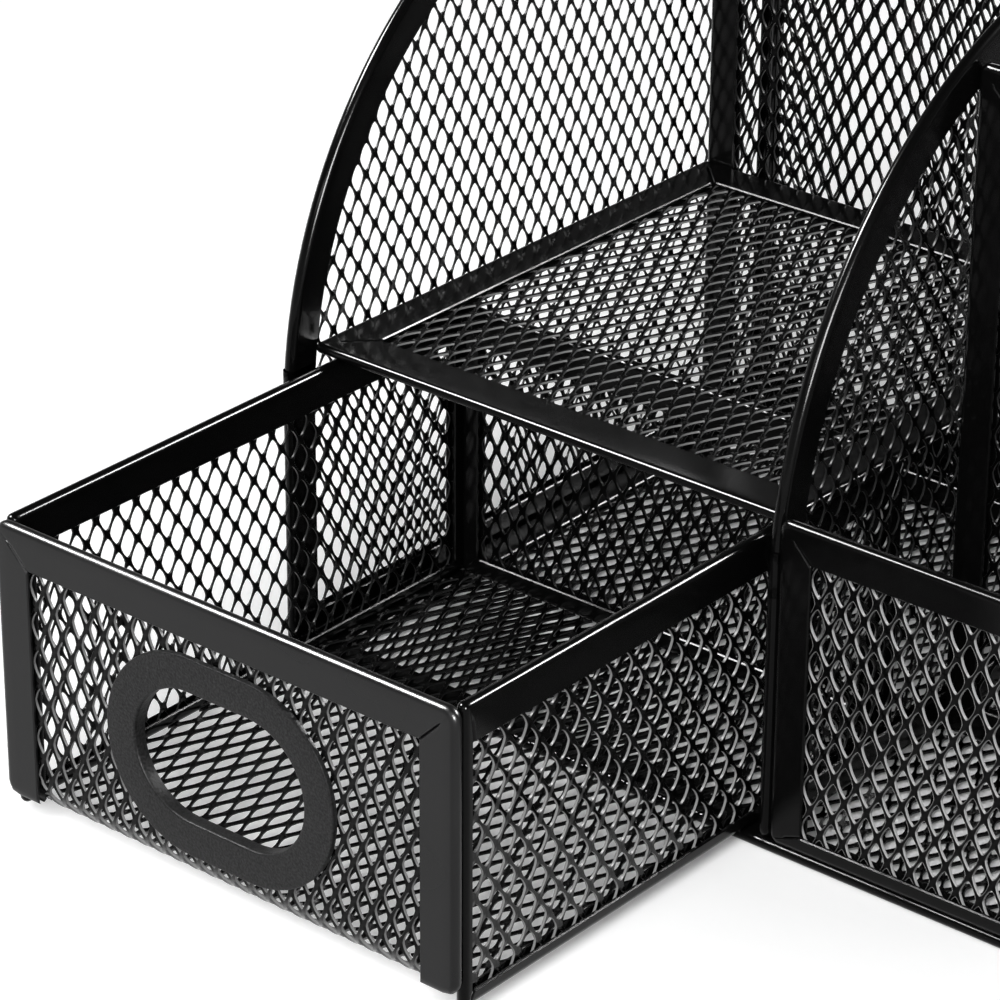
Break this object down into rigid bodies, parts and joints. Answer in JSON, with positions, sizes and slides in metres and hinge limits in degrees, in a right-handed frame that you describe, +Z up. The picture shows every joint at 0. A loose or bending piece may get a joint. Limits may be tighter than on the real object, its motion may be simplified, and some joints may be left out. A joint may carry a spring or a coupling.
{
  "type": "desk organizer with drawer",
  "caption": "Black mesh desk organizer with a pull-out drawer, a shelf above it, a low front box, tall pen spaces and a narrow rear slot.",
  "frame": {"origin": "on the desk, under the middle of the case's footprint", "axes": "+Z up, +X to the right seen from the front, +Y to the back; the drawer slides out along -Y"},
  "size_m": [0.2168, 0.2165, 0.138],
  "materials": {
    "black_mesh": "gloss",
    "black_frame": "satin",
    "dark_handle": "matt"
  },
  "bodies": {
    "case": {"left_side_mesh": "black_mesh", "right_side_mesh": "black_mesh", "centre_side_mesh": "black_mesh", "base_mesh": "black_mesh", "inner_back_mesh": "black_mesh", "rear_wall_mesh": "black_mesh", "pen_wall_mesh": "black_mesh", "pen_partition_mesh": "black_mesh", "front_box_mesh": "black_mesh", "shelf_mesh": "black_mesh", "left_side_frame": "black_frame", "right_side_frame": "black_frame", "centre_side_frame": "black_frame", "base_frame": "black_frame", "inner_back_frame": "black_frame", "rear_wall_frame": "black_frame", "pen_wall_frame": "black_frame", "pen_partition_frame": "black_frame", "front_box_frame": "black_frame", "shelf_front_lip": "black_frame", "shelf_left_flange": "black_frame", "shelf_right_flange": "black_frame", "shelf_back_flange": "black_frame"},
    "drawer": {"drawer_front_mesh": "black_mesh", "drawer_left_mesh": "black_mesh", "drawer_right_mesh": "black_mesh", "drawer_back_mesh": "black_mesh", "drawer_floor_mesh": "black_mesh", "drawer_front_frame": "black_frame", "drawer_left_frame": "black_frame", "drawer_right_frame": "black_frame", "drawer_back_frame": "black_frame", "drawer_handle_ring": "dark_handle"}
  },
  "joints": [
    {"name": "drawer_slide", "type": "slide", "parent": "case", "child": "drawer", "axis": [0, -1, 0], "range_m": [-0.0745, 0.02]}
  ]
}
